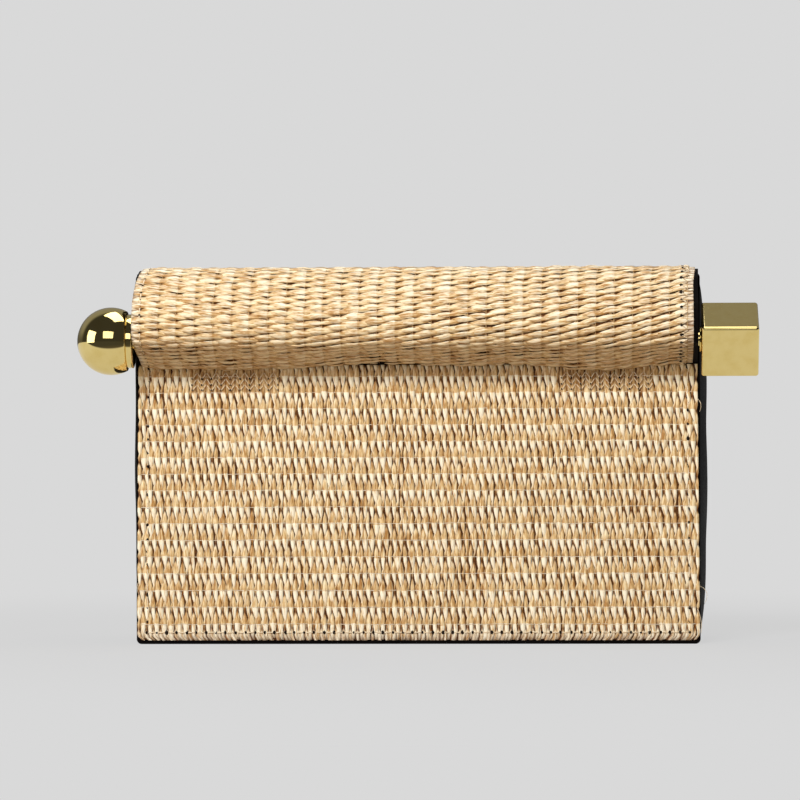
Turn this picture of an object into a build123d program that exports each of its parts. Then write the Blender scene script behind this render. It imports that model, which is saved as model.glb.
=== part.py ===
from build123d import *
from math import cos, pi, radians, sin, sqrt, tan
import os

# A raffia-covered box clutch that stands on its own base. One raffia sheet covers the front. A second
# runs up the back, over the top and down into a rolled front, which holds a rod with a ball on one
# end and a block on the other. Millimetres. The origin is the middle of the base, on the floor. X runs
# along the bag, the front faces -Y and +Z is up. "Forward" is the distance in front of the front
# board's face, and an elevation is the angle of an outward normal above the level, seen from the end.

# Case of stiff leather-covered boards
case_width = 221.0
case_depth = 70.0
case_height = 145.1
board_t = 2.5
board_corner_r = 2.0
board_edge_r = 0.6
base_t = 3.0

# Side gussets: leather that swells outwards between the boards
gusset_t = 1.6
gusset_inset = 1.1
gusset_swell = 4.3
gusset_end_swell = 0.2
gusset_foot = 0.6
gusset_stations = 7

# Lining of the pocket inside
lining_t = 0.8
lining_gap = 0.3
lining_drop = 2.0

# Raffia sheets: a flat ground with ridges where the strands float
raffia_t = 1.2
ridge_h = 0.6
front_rim_top = 1.3
front_rim_foot = 0.2
front_foot = 2.7
front_head_drop = 1.0
front_strand_pitch = 2.82
front_rows = 5
flap_rim = 1.2
flap_strand_pitch = 3.15
flap_bands = 6
back_foot = 1.0
back_bands = 2

# Flap and its rolled front, seen from the end
seat_gap = 0.3
flap_leather_t = 1.0
fold_r = 1.3
shoulder_r = 14.0
slope_angle = 39.0
brow_r = 17.2
nose_r = 7.6
nose_forward = 24.0
nose_drop = 24.9
underside_angle = 67.0
core_recess = 1.5

# Rod through the roll, with its collars, ball and block
rod_r = 3.0
rod_fit = 0.05
rod_forward = 12.5
rod_drop = 29.0
thread_r = 2.4
thread_length = 9.0
thread_room = 0.5
finial_gap = 0.3
left_collar_r = 10.5
left_collar_t = 2.4
right_collar_r = 5.0
right_collar_t = 0.7
collar_edge = 0.3
ball_r = 13.2
ball_neck = 6.4
block_side = 21.5
block_length = 22.0
block_turn = 30.0
block_edge = 1.1

# Closing magnets, two in the front board and two in the roll
magnet_length = 30.0
magnet_height = 12.0
magnet_t = 1.5
magnet_corner_r = 1.0
magnet_margin = 37.2
magnet_drop = 27.6
magnet_play = 0.2

# Places that follow from the sizes above
half_depth = case_depth / 2
inner_depth = case_depth - 2 * board_t
back_face = half_depth + raffia_t
gusset_x = case_width / 2 - gusset_inset
front_head = case_height - front_head_drop
flap_under_z = case_height + seat_gap
flap_skin_z = flap_under_z + flap_leather_t
flap_top_z = flap_skin_z + raffia_t
flap_leather_width = 2 * gusset_x + 2 * seat_gap
flap_raffia_width = flap_leather_width - 2 * flap_rim
inner_face = raffia_t + seat_gap
core_face = inner_face + flap_leather_t
core_inset = raffia_t + flap_leather_t
rod_y = -half_depth - rod_forward
rod_z = flap_top_z - rod_drop
nose_z = flap_top_z - nose_drop
magnet_x = case_width / 2 - magnet_margin
magnet_z = flap_top_z - magnet_drop
ball_face_x = -flap_leather_width / 2 - finial_gap - left_collar_t
block_face_x = flap_leather_width / 2 + finial_gap + right_collar_t
shoulder_z = flap_top_z - shoulder_r
slope_rise = (nose_z - shoulder_z) * sin(radians(slope_angle))
shoulder_forward = nose_forward - brow_r + (slope_rise + brow_r - shoulder_r) / cos(
    radians(slope_angle)
)


def export(piece, label):
    """Name a finished piece and write it as a STEP file."""
    piece.part.label = label
    export_step(piece.part, f"parts/{label}.step")


def at(forward, z):
    """Point of an end view, given by its distance in front of the front board's face."""
    return (-half_depth - forward, z)


def on_arc(forward, z, r, elevation):
    """Point on a circle of an end view, where its outward normal has this elevation."""
    angle = radians(elevation)
    return at(forward + r * cos(angle), z + r * sin(angle))


def roll_front(inset, foot_forward, head=90.0):
    """Draw the roll's outline, moved in by inset, from its shoulder to where its underside ends."""
    shoulder = (shoulder_forward, shoulder_z, shoulder_r - inset)
    brow = (nose_forward - brow_r, nose_z, brow_r - inset)
    nose = (nose_forward - nose_r, nose_z, nose_r - inset)
    under = on_arc(*nose, -underside_angle)
    foot = at(foot_forward, 0)
    drop = (foot[0] - under[0]) / tan(radians(underside_angle))
    foot = (foot[0], under[1] - drop)
    CenterArc(at(*shoulder[:2]), shoulder[2], 180 - head, head - slope_angle)
    Line(on_arc(*shoulder, slope_angle), on_arc(*brow, slope_angle))
    CenterArc(at(*brow[:2]), brow[2], 180 - slope_angle, slope_angle)
    CenterArc(at(*nose[:2]), nose[2], 180, underside_angle)
    Line(under, foot)
    return on_arc(*shoulder, head), foot


def crests(path, ridges, first):
    """Zigzag points along a path: its crests lie on the path and its grooves to the left of it."""
    points = []
    for step in range(2 * ridges + 1):
        place = step / (2 * ridges)
        inward = (path % place).rotate(Axis.Z, 90)
        points.append(path @ place + inward * ridge_h * ((step + first) % 2))
    return points


def bands(width, count):
    """Left edge of each band of a sheet whose strands run along the bag, and the bands' width."""
    return [-width / 2 + band * width / count for band in range(count)], width / count


os.makedirs("parts", exist_ok=True)

# Front board, with recesses in its face for the magnets under the raffia
with BuildPart() as front_board:
    with BuildSketch(Plane.XZ.offset(half_depth)):
        with Locations((0, case_height / 2)):
            RectangleRounded(case_width, case_height, board_corner_r)
    extrude(amount=-board_t)
    fillet(front_board.faces().sort_by(Axis.Y)[0].edges(), board_edge_r)
    with BuildSketch(Plane.XZ.offset(half_depth)):
        with Locations((0, magnet_z)):
            with GridLocations(2 * magnet_x, 0, 2, 1):
                Rectangle(magnet_length + 2 * magnet_play, magnet_height + 2 * magnet_play)
    extrude(amount=-magnet_t, mode=Mode.SUBTRACT)
export(front_board, "front_board")

# Back board
with BuildPart() as back_board:
    with BuildSketch(Plane.XZ.offset(-half_depth)):
        with Locations((0, case_height / 2)):
            RectangleRounded(case_width, case_height, board_corner_r)
    extrude(amount=board_t)
    fillet(back_board.faces().sort_by(Axis.Y)[-1].edges(), board_edge_r)
export(back_board, "back_board")

# Base board between the two boards and the gussets, which the bag stands on
with BuildPart() as base_board:
    with BuildSketch():
        Rectangle(2 * (gusset_x - gusset_t), inner_depth)
    extrude(amount=base_t)
export(base_board, "base_board")

# Side gussets, lofted through bowed strips that swell most at mid height
with BuildPart() as right_gusset:
    for station in range(gusset_stations):
        level = -cos(pi * station / (gusset_stations - 1))
        height = gusset_foot + (case_height - gusset_foot) * (1 + level) / 2
        bow = gusset_end_swell + gusset_swell * sqrt(1 - abs(level) ** 3)
        with BuildSketch(Plane.XY.offset(height)):
            with BuildLine():
                front_y, back_y = -inner_depth / 2, inner_depth / 2
                inner_x = gusset_x - gusset_t
                ThreePointArc((gusset_x, front_y), (gusset_x + bow, 0), (gusset_x, back_y))
                Line((gusset_x, back_y), (inner_x, back_y))
                ThreePointArc((inner_x, back_y), (inner_x + bow, 0), (inner_x, front_y))
                Line((inner_x, front_y), (gusset_x, front_y))
            make_face()
    loft()
export(right_gusset, "right_gusset")

with BuildPart() as left_gusset:
    mirror(right_gusset.part, about=Plane.YZ)
export(left_gusset, "left_gusset")

# Lining: one open-topped pocket that stands on the base board, between the two boards
with BuildPart() as lining:
    with BuildSketch(Plane.XY.offset(base_t)):
        Rectangle(2 * (gusset_x - gusset_t - lining_gap), inner_depth)
    extrude(amount=case_height - lining_drop - base_t)
    offset(amount=-lining_t, openings=lining.faces().sort_by(Axis.Z)[-1])
export(lining, "lining")

# Front raffia sheet: strands run up the panel, and their floats change places from row to row
row_height = (front_head - front_foot) / front_rows
front_ridges = round((case_width - 2 * front_rim_top) / front_strand_pitch)
with BuildPart() as front_raffia:
    for row in range(front_rows):
        row_share = (row + 0.5) / front_rows
        rim = front_rim_foot + (front_rim_top - front_rim_foot) * row_share
        left, right = rim - case_width / 2, case_width / 2 - rim
        with BuildLine() as face_line:
            Line((left, -half_depth - raffia_t), (right, -half_depth - raffia_t))
        with BuildSketch(Plane.XY.offset(front_foot + row * row_height)):
            with BuildLine():
                zigzag = crests(face_line.wire(), front_ridges, row)
                Polyline((left, -half_depth), *zigzag, (right, -half_depth), close=True)
            make_face()
        extrude(amount=row_height)
export(front_raffia, "front_raffia")

# Back raffia sheet: strands run along the bag
back_ridges = round((case_height - back_foot) / flap_strand_pitch)
with BuildLine() as back_line:
    Line((back_face, back_foot), (back_face, case_height))
with BuildPart() as back_raffia:
    band_starts, band_width = bands(flap_raffia_width, back_bands)
    for band, band_x in enumerate(band_starts):
        with BuildSketch(Plane.YZ.offset(band_x)):
            with BuildLine():
                zigzag = crests(back_line.wire(), back_ridges, band)
                Polyline((half_depth, back_foot), *zigzag, (half_depth, case_height), close=True)
            make_face()
        extrude(amount=band_width)
export(back_raffia, "back_raffia")

# Flap raffia sheet: from the fold over the top and round the roll, strands along the bag
with BuildLine() as flap_line:
    Line((back_face, flap_under_z), (back_face, flap_top_z - fold_r))
    CenterArc((back_face - fold_r, flap_top_z - fold_r), fold_r, 0, 90)
    Line((back_face - fold_r, flap_top_z), at(shoulder_forward, flap_top_z))
    roll_front(0, inner_face)
flap_ridges = round(flap_line.wire().length / flap_strand_pitch)
with BuildPart() as flap_raffia:
    band_starts, band_width = bands(flap_raffia_width, flap_bands)
    for band, band_x in enumerate(band_starts):
        with BuildSketch(Plane.YZ.offset(band_x)):
            with BuildLine():
                zigzag = crests(flap_line.wire(), flap_ridges, band)
                Polyline(*zigzag)
                shoulder, foot = roll_front(raffia_t, inner_face)
                Line(foot, zigzag[-1])
                Polyline(shoulder, (half_depth, flap_skin_z), (half_depth, flap_under_z), zigzag[0])
            make_face()
        extrude(amount=band_width)
export(flap_raffia, "flap_raffia")

# Outline of the roll's inside, shared by the leather round it and the core in it
head_rise = sqrt((shoulder_r - core_inset) ** 2 - (core_face - shoulder_forward) ** 2)
head_angle = 90 - Vector(head_rise, core_face - shoulder_forward).get_angle(Vector(1, 0))
with BuildSketch(Plane.YZ) as core_outline:
    with BuildLine():
        core_head, core_foot = roll_front(core_inset, core_face, head_angle)
        Line(core_foot, core_head)
    make_face()

# Flap leather: a sheet over the top that closes on itself round the roll
with BuildPart() as flap_leather:
    with BuildSketch(Plane.YZ):
        with BuildLine():
            shoulder, foot = roll_front(raffia_t, inner_face)
            Polyline(
                foot,
                at(inner_face, flap_under_z),
                (half_depth, flap_under_z),
                (half_depth, flap_skin_z),
                shoulder,
            )
        make_face()
    extrude(amount=flap_leather_width / 2, both=True)
    extrude(core_outline.sketch, amount=flap_leather_width / 2, both=True, mode=Mode.SUBTRACT)
export(flap_leather, "flap_leather")

# Roll core: the former that keeps the roll's shape, bored for the rod, with the flap's two magnets
with BuildPart() as roll_core:
    extrude(core_outline.sketch, amount=flap_leather_width / 2 - core_recess, both=True)
    with BuildSketch(Plane.YZ):
        with Locations((rod_y, rod_z)):
            Circle(rod_r + rod_fit)
    extrude(amount=flap_leather_width / 2, both=True, mode=Mode.SUBTRACT)
    with BuildSketch(Plane.XZ.offset(half_depth + core_face)):
        with Locations((0, magnet_z)):
            with GridLocations(2 * magnet_x, 0, 2, 1):
                Rectangle(magnet_length + 2 * magnet_play, magnet_height + 2 * magnet_play)
    extrude(amount=magnet_t, mode=Mode.SUBTRACT)
export(roll_core, "roll_core")

# Magnets: one pair sunk in the front board's face, one pair sunk in the core's back
magnet_backs = {"front": half_depth - magnet_t, "flap": half_depth + core_face}
for place, back in magnet_backs.items():
    for side, name in ((-1, "left"), (1, "right")):
        with BuildPart() as magnet:
            with BuildSketch(Plane.XZ.offset(back)):
                with Locations((side * magnet_x, magnet_z)):
                    RectangleRounded(magnet_length, magnet_height, magnet_corner_r)
            extrude(amount=magnet_t)
        export(magnet, f"{name}_{place}_magnet")

# Rod, necked down at both ends to the threads that hold the finials
with BuildPart() as rod:
    for start, end, r in (
        (ball_face_x, block_face_x, rod_r),
        (ball_face_x - thread_length, ball_face_x, thread_r),
        (block_face_x, block_face_x + thread_length, thread_r),
    ):
        with BuildSketch(Plane.YZ.offset(start)):
            with Locations((rod_y, rod_z)):
                Circle(r)
        extrude(amount=end - start)
export(rod, "rod")

# Collars between the roll's ends and the finials
for start, thickness, r, name in (
    (ball_face_x, left_collar_t, left_collar_r, "left_collar"),
    (block_face_x - right_collar_t, right_collar_t, right_collar_r, "right_collar"),
):
    with BuildPart() as collar:
        with BuildSketch(Plane.YZ.offset(start)):
            with Locations((rod_y, rod_z)):
                Circle(r)
                Circle(rod_r + rod_fit, mode=Mode.SUBTRACT)
        extrude(amount=thickness)
        chamfer(collar.edges().filter_by(GeomType.CIRCLE).group_by(SortBy.RADIUS)[-1], collar_edge)
    export(collar, name)

# Ball, cut flat where it meets its collar, with a blind hole for the rod's thread
ball_plane = Plane(origin=(ball_face_x - ball_neck, rod_y, rod_z), x_dir=(1, 0, 0), z_dir=(0, -1, 0))
with BuildPart() as ball_finial:
    with BuildSketch(ball_plane):
        with BuildLine():
            face_r = sqrt(ball_r**2 - ball_neck**2)
            hole_end = ball_neck - thread_length - thread_room
            half_way = (-ball_r * cos(pi / 4), ball_r * sin(pi / 4))
            ThreePointArc((-ball_r, 0), half_way, (ball_neck, face_r))
            Polyline(
                (ball_neck, face_r),
                (ball_neck, thread_r + rod_fit),
                (hole_end, thread_r + rod_fit),
                (hole_end, 0),
                (-ball_r, 0),
            )
        make_face()
    revolve(axis=Axis(ball_plane.origin, (1, 0, 0)))
export(ball_finial, "ball_finial")

# Block: a square bar's length, turned with the rod, its edges broken
with BuildPart() as block_finial:
    with BuildSketch(Plane.YZ.offset(block_face_x)):
        with Locations((rod_y, rod_z)):
            Rectangle(block_side, block_side, rotation=block_turn)
    extrude(amount=block_length)
    fillet(block_finial.edges(), block_edge)
    with Locations(Plane(origin=(block_face_x, rod_y, rod_z), z_dir=(-1, 0, 0))):
        Hole(thread_r + rod_fit, depth=thread_length + thread_room)
export(block_finial, "block_finial")
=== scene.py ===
"""Looks of a small box clutch: woven raffia, black leather, suede lining and polished gold finials.

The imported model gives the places. Lengths are worked out in millimetres and become metres when a
mesh is made. A woven sheet is laid out flat first: "across" is square to its strands, "along"
follows them, and "height" is measured off the leather under it.
"""

import logging
import math
from dataclasses import dataclass, field
from enum import Enum
from typing import Callable, Dict, List, Optional, Sequence, Tuple, Union

import bpy
import numpy as np
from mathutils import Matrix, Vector


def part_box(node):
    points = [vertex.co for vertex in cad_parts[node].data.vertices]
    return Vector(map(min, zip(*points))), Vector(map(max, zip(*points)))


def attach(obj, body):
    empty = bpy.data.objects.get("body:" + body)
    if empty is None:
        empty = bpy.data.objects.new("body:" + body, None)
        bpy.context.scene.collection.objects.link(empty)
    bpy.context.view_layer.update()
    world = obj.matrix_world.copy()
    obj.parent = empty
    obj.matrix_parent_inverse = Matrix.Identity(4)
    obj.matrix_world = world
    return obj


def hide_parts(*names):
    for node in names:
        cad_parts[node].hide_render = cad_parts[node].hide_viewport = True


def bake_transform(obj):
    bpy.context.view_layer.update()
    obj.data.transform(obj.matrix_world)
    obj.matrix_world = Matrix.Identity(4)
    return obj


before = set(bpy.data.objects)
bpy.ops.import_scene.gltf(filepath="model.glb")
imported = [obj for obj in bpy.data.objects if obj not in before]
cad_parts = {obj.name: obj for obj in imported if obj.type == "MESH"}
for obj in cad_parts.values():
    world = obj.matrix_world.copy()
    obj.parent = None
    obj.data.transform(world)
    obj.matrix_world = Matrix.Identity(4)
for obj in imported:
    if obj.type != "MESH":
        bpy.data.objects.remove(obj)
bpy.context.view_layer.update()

log = logging.getLogger("basket box bag")

SHARP_DEG = 30.0
COLUMN_PITCH = 7.06
MM = 0.001
Array = np.ndarray
Piece = bpy.types.Object
Rgb = Tuple[float, float, float]
Pair = Tuple[float, float]
Operand = Union["Signal", float]
Place = Callable[[Array, Array, Array], Array]


class Body(Enum):
    """The bodies that pieces ride on."""

    CASE = "case"
    FLAP = "flap"
    ROD_SET = "rod_set"


class Slot(Enum):
    """The record's finishes."""

    LEATHER = "black_leather"
    SUEDE = "pocket_suede"
    RAFFIA = "raffia"
    FELT = "core_felt"
    MAGNET = "magnet_plate"
    GOLD = "gold_metal"


def srgb(red: int, green: int, blue: int) -> Rgb:
    """Turn a colour of 0 to 255 levels into the linear values that a shader takes."""
    levels = [level / 255 for level in (red, green, blue)]
    return tuple(v / 12.92 if v <= 0.04045 else ((v + 0.055) / 1.055) ** 2.4 for v in levels)


# Shader arithmetic


class Signal:
    """One output of a material's node tree, with arithmetic on its value."""

    def __init__(self, tree: bpy.types.NodeTree, socket: bpy.types.NodeSocket) -> None:
        """Wrap a socket.

        Args:
            tree: The node tree that new nodes are added to.
            socket: The output that this stands for.
        """
        self.tree = tree
        self.socket = socket

    def math(self, operation: str, *others: Operand, first: int = 0) -> "Signal":
        """Add one Math node.

        Args:
            operation: The node's operation.
            others: The other operands.
            first: The input that takes this signal.

        Returns:
            The node's result.
        """
        node = self.tree.nodes.new("ShaderNodeMath")
        node.operation = operation
        operands: List[Operand] = list(others)
        operands.insert(first, self)
        for index, operand in enumerate(operands):
            put(self.tree, node.inputs[index], operand)
        return Signal(self.tree, node.outputs[0])

    def __add__(self, other: Operand) -> "Signal":
        """Add."""
        return self.math("ADD", other)

    __radd__ = __add__

    def __mul__(self, other: Operand) -> "Signal":
        """Multiply."""
        return self.math("MULTIPLY", other)

    __rmul__ = __mul__

    def __sub__(self, other: Operand) -> "Signal":
        """Subtract."""
        return self.math("SUBTRACT", other)

    def __rsub__(self, other: float) -> "Signal":
        """Subtract this from a number."""
        return self.math("SUBTRACT", other, first=1)

    def smooth(self, low: float, high: float) -> "Signal":
        """Rise smoothly from 0 at low to 1 at high."""
        node = self.tree.nodes.new("ShaderNodeMapRange")
        node.interpolation_type = "SMOOTHSTEP"
        put(self.tree, node.inputs["Value"], self)
        put(self.tree, node.inputs["From Min"], low)
        put(self.tree, node.inputs["From Max"], high)
        return Signal(self.tree, node.outputs["Result"])


def put(tree: bpy.types.NodeTree, socket: bpy.types.NodeSocket, value: object) -> None:
    """Link a signal to an input, or set the input's own value.

    Args:
        tree: The node tree.
        socket: The input.
        value: A signal, a number, or a colour or vector.
    """
    if isinstance(value, Signal):
        tree.links.new(value.socket, socket)
    elif isinstance(value, tuple) and socket.type == "RGBA":
        socket.default_value = (*value[:3], 1.0)
    else:
        socket.default_value = value


class Dye:
    """A material in the making: its node tree, its shader and short ways to add nodes."""

    def __init__(self, name: str) -> None:
        """Make an empty material with one Principled shader."""
        self.material = bpy.data.materials.new(name)
        self.material.use_nodes = True
        self.tree = self.material.node_tree
        self.shader = self.tree.nodes["Principled BSDF"]

    def node(
        self,
        kind: str,
        output: Union[int, str] = 0,
        settings: Optional[Dict[str, object]] = None,
        **inputs: object,
    ) -> Signal:
        """Add one node.

        Args:
            kind: The node's type, without its ShaderNode prefix.
            output: The output to return.
            settings: Properties, which are set first.
            inputs: Input values or signals. An underscore stands for a space.

        Returns:
            The chosen output.
        """
        node = self.tree.nodes.new("ShaderNode" + kind)
        for key, value in (settings or {}).items():
            setattr(node, key, value)
        for key, value in inputs.items():
            put(self.tree, node.inputs[key.replace("_", " ")], value)
        return Signal(self.tree, node.outputs[output])

    def blend(self, share: Signal, low: Union[Signal, Rgb], high: Union[Signal, Rgb]) -> Signal:
        """Mix two colours.

        Args:
            share: 0 gives low and 1 gives high.
            low: The first colour.
            high: The second colour.

        Returns:
            The mixed colour.
        """
        node = self.tree.nodes.new("ShaderNodeMix")
        node.data_type = "RGBA"
        for index, value in ((0, share), (6, low), (7, high)):
            put(self.tree, node.inputs[index], value)
        return Signal(self.tree, node.outputs[2])

    def noise(self, at: Signal, scale: float, detail: float = 2.0, rough: float = 0.5) -> Signal:
        """Cloudy noise, from 0 to 1, at a place."""
        return self.node("TexNoise", "Fac", Vector=at, Scale=scale, Detail=detail, Roughness=rough)

    def stretched(self, at: Signal, scale: Rgb) -> Signal:
        """A place with each of its axes scaled."""
        return self.node("Mapping", Vector=at, Scale=scale)

    def bump(self, height: Signal, strength: float, depth_mm: float) -> Signal:
        """A normal that follows a height of 0 to 1."""
        return self.node("Bump", Height=height, Strength=strength, Distance=depth_mm * MM)

    def finish(self, **inputs: object) -> bpy.types.Material:
        """Set the shader's inputs and give the material."""
        for key, value in inputs.items():
            put(self.tree, self.shader.inputs[key.replace("_", " ")], value)
        return self.material


# Finishes


@dataclass(frozen=True)
class Raffia:
    """Split palm fibre: pale and glossy on the floats, with a painted highlight on one half of each
    float, and brown painted shade where strands lie deep in the gaps.
    """

    name: str = "raffia"
    # Near-white colour of the painted highlight on the bright half of each float.
    painted_highlight: Rgb = srgb(255, 245, 220)
    pale: Rgb = srgb(248, 226, 178)
    straw: Rgb = srgb(228, 192, 134)
    amber: Rgb = srgb(178, 126, 62)
    # Brown painted shade for strands that lie deep in the gaps.
    painted_gap_shade: Rgb = srgb(116, 62, 16)
    roughness: float = 0.42
    fibre_scale: float = 1.7

    def dye(self) -> bpy.types.Material:
        """Make the material from the strands' own attributes."""
        dye = Dye(self.name)
        fibre = dye.node("Attribute", "Vector", {"attribute_name": "fibre"})
        lie = dye.node("Attribute", "Vector", {"attribute_name": "lie"})
        depth = dye.node("SeparateXYZ", 0, Vector=lie)
        tone = dye.node("SeparateXYZ", 1, Vector=lie)
        glow = dye.node("SeparateXYZ", 2, Vector=lie)
        coarse = dye.noise(dye.stretched(fibre, (1.0, 0.12, 1.0)), self.fibre_scale, 3.0)
        fine = dye.noise(dye.stretched(fibre, (1.0, 0.09, 1.0)), self.fibre_scale * 3.2, 2.0)
        shade = (coarse - 0.5) * 3.4 + (fine - 0.5) * 2.0 + (tone - 0.5) * 0.4 + 0.5
        dull = dye.blend((shade + 0.15).smooth(0.0, 0.8), self.amber, self.straw)
        dull = dye.blend(shade.smooth(0.5, 1.2), dull, self.pale)
        # Painted highlight: the colour that the bright half of a float is painted.
        bright = dye.blend((shade + 0.25).smooth(0.0, 0.9), self.straw, self.painted_highlight)
        # glow lays the painted highlight on one half of each float; streaks break it up.
        colour = dye.blend((glow + (coarse - 0.5) * 1.3).smooth(0.1, 0.95), dull, bright)
        # Painted shade: the deeper a strand lies, the browner it is painted. The coat also thins there.
        clear_of_gap_shade = depth.smooth(0.12, 0.6)
        colour = dye.blend(clear_of_gap_shade, self.painted_gap_shade, colour)
        relief = coarse * 0.6 + fine * 0.4
        return dye.finish(
            Base_Color=colour,
            Roughness=(1.0 - fine) * 0.35 + (self.roughness - 0.17),
            Coat_Weight=clear_of_gap_shade * 0.6,
            Coat_Roughness=0.22,
            Normal=dye.bump(relief, 0.7, 0.4),
        )


@dataclass(frozen=True)
class Leather:
    """Smooth black leather with a fine grain."""

    name: str = "black_leather"
    ink: Rgb = srgb(7, 5, 5)
    worn: Rgb = srgb(18, 15, 14)
    grain_scale: float = 1500.0
    roughness: float = 0.56

    def dye(self) -> bpy.types.Material:
        """Make the material."""
        dye = Dye(self.name)
        at = dye.node("TexCoord", "Object")
        cells = dye.node(
            "TexVoronoi", "Distance", {"feature": "SMOOTH_F1"}, Vector=at, Scale=self.grain_scale
        )
        clouds = dye.noise(at, 60.0, 4.0)
        return dye.finish(
            Base_Color=dye.blend(clouds.smooth(0.4, 0.8), self.ink, self.worn),
            Roughness=cells * 0.25 + (self.roughness - 0.1),
            Specular_IOR_Level=0.04,
            Normal=dye.bump(cells + clouds * 0.6, 0.35, 0.12),
        )


@dataclass(frozen=True)
class Nap:
    """A matt fibre surface, such as suede or felt."""

    name: str
    dark: Rgb
    light: Rgb
    scale: float = 900.0

    def dye(self) -> bpy.types.Material:
        """Make the material."""
        dye = Dye(self.name)
        at = dye.node("TexCoord", "Object")
        nap = dye.noise(at, self.scale, 5.0, 0.7)
        brushed = dye.noise(dye.stretched(at, (1.0, 1.0, 0.25)), 90.0, 3.0)
        return dye.finish(
            Base_Color=dye.blend((nap * 0.5 + brushed * 0.5).smooth(0.35, 0.7), self.dark, self.light),
            Roughness=0.95,
            Sheen_Weight=0.4,
            Normal=dye.bump(nap, 0.4, 0.15),
        )


@dataclass(frozen=True)
class Metal:
    """Plated metal, with faint marks in its polish."""

    name: str
    tint: Rgb
    deep: Rgb
    roughness: float

    def dye(self) -> bpy.types.Material:
        """Make the material."""
        dye = Dye(self.name)
        at = dye.node("TexCoord", "Object")
        haze = dye.noise(at, 240.0, 4.0)
        marks = dye.noise(dye.stretched(at, (1.0, 6.0, 6.0)), 900.0, 3.0)
        return dye.finish(
            Base_Color=dye.blend(haze.smooth(0.35, 0.75), self.tint, self.deep),
            Metallic=1.0,
            Roughness=haze.smooth(0.4, 0.8) * 0.04 + self.roughness,
            Normal=dye.bump(marks, 0.05, 0.02),
        )


@dataclass(frozen=True)
class Thread:
    """Spun cotton thread."""

    name: str
    light: Rgb
    dark: Rgb

    def dye(self) -> bpy.types.Material:
        """Make the material."""
        dye = Dye(self.name)
        at = dye.node("TexCoord", "Object")
        fluff = dye.noise(at, 2600.0, 3.0)
        return dye.finish(
            Base_Color=dye.blend(fluff.smooth(0.35, 0.7), self.dark, self.light),
            Roughness=0.7,
            Normal=dye.bump(fluff, 0.5, 0.08),
        )


@dataclass(frozen=True)
class HoleShade:
    """Painted shade: a dark cup that stands for the shade inside a needle hole."""

    name: str = "needle_hole_shade"
    dark: Rgb = srgb(40, 24, 12)

    def dye(self) -> bpy.types.Material:
        """Make the material."""
        dye = Dye(self.name)
        at = dye.node("TexCoord", "Object")
        fluff = dye.noise(at, 1800.0, 2.0)
        return dye.finish(Base_Color=dye.blend(fluff, self.dark, srgb(20, 12, 6)), Roughness=0.9)


class Wardrobe:
    """Every material, made once."""

    def __init__(self) -> None:
        """Make the materials."""
        self.raffia = Raffia().dye()
        self.leather = Leather().dye()
        self.suede = Nap("suede", srgb(26, 24, 24), srgb(48, 44, 43)).dye()
        self.felt = Nap("felt", srgb(24, 22, 22), srgb(40, 38, 38), 1400.0).dye()
        self.gold = Metal("gold", (0.93, 0.74, 0.30), (0.88, 0.68, 0.25), 0.045).dye()
        self.steel = Metal("magnet_plate", (0.55, 0.55, 0.56), (0.42, 0.42, 0.43), 0.3).dye()
        self.warp = Thread("warp_thread", srgb(250, 244, 230), srgb(214, 192, 158)).dye()
        self.tan = Thread("tan_thread", srgb(214, 184, 136), srgb(166, 128, 80)).dye()
        self.seam = Thread("seam_thread", srgb(250, 238, 214), srgb(222, 196, 156)).dye()
        # Dark brown sheet under the raffia: painted shade for the gaps between the strands.
        self.gap_shade_sheet = Thread("mat_gap_shade_sheet", srgb(112, 68, 28), srgb(72, 40, 14)).dye()
        # Painted shade for the insides of the needle holes.
        self.hole_shade = HoleShade().dye()


# Mesh helpers


def only(piece: Piece) -> None:
    """Select one object alone and make it active."""
    bpy.ops.object.select_all(action="DESELECT")
    piece.select_set(True)
    bpy.context.view_layer.objects.active = piece


def make(name: str, operator: Callable[..., object], **settings: object) -> Piece:
    """Make one object with an operator, and name it.

    Args:
        name: The piece's name.
        operator: The operator that adds it.
        settings: The operator's settings.

    Returns:
        The new object, which is active.
    """
    bpy.ops.object.select_all(action="DESELECT")
    operator(**settings)
    piece = bpy.context.view_layer.objects.active
    piece.name = piece.data.name = name
    return piece


def put_in_scene(name: str, data: bpy.types.ID) -> Piece:
    """Add an object with this data to the scene."""
    piece = bpy.data.objects.new(name, data)
    bpy.context.scene.collection.objects.link(piece)
    return piece


def apply_all(piece: Piece) -> None:
    """Apply an object's modifiers and its transform, so that its place is in its mesh."""
    only(piece)
    for modifier in list(piece.modifiers):
        bpy.ops.object.modifier_apply(modifier=modifier.name)
    bpy.ops.object.transform_apply(location=True, rotation=True, scale=True)


def break_edges(
    piece: Piece, width: float, segments: int, smooth_deg: float = SHARP_DEG
) -> None:
    """Round off a piece's sharp edges.

    Args:
        piece: The piece.
        width: The bevel's width, in millimetres.
        segments: Facets across it.
        smooth_deg: Faces that turn by less than this look like one surface.
    """
    edge = piece.modifiers.new("edge", "BEVEL")
    edge.width = width * MM
    edge.segments = segments
    edge.limit_method = "ANGLE"
    edge.angle_limit = math.radians(SHARP_DEG)
    apply_all(piece)
    bpy.ops.object.shade_smooth_by_angle(angle=math.radians(smooth_deg))


def corners_of(piece: Piece) -> Array:
    """The corners of a mesh, one row each."""
    flat = np.empty(len(piece.data.vertices) * 3)
    piece.data.vertices.foreach_get("co", flat)
    return flat.reshape(-1, 3)


def set_corners(piece: Piece, places_mm: Array) -> None:
    """Move a mesh's corners to places in millimetres."""
    piece.data.vertices.foreach_set("co", (places_mm * MM).ravel())
    piece.data.update()


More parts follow.
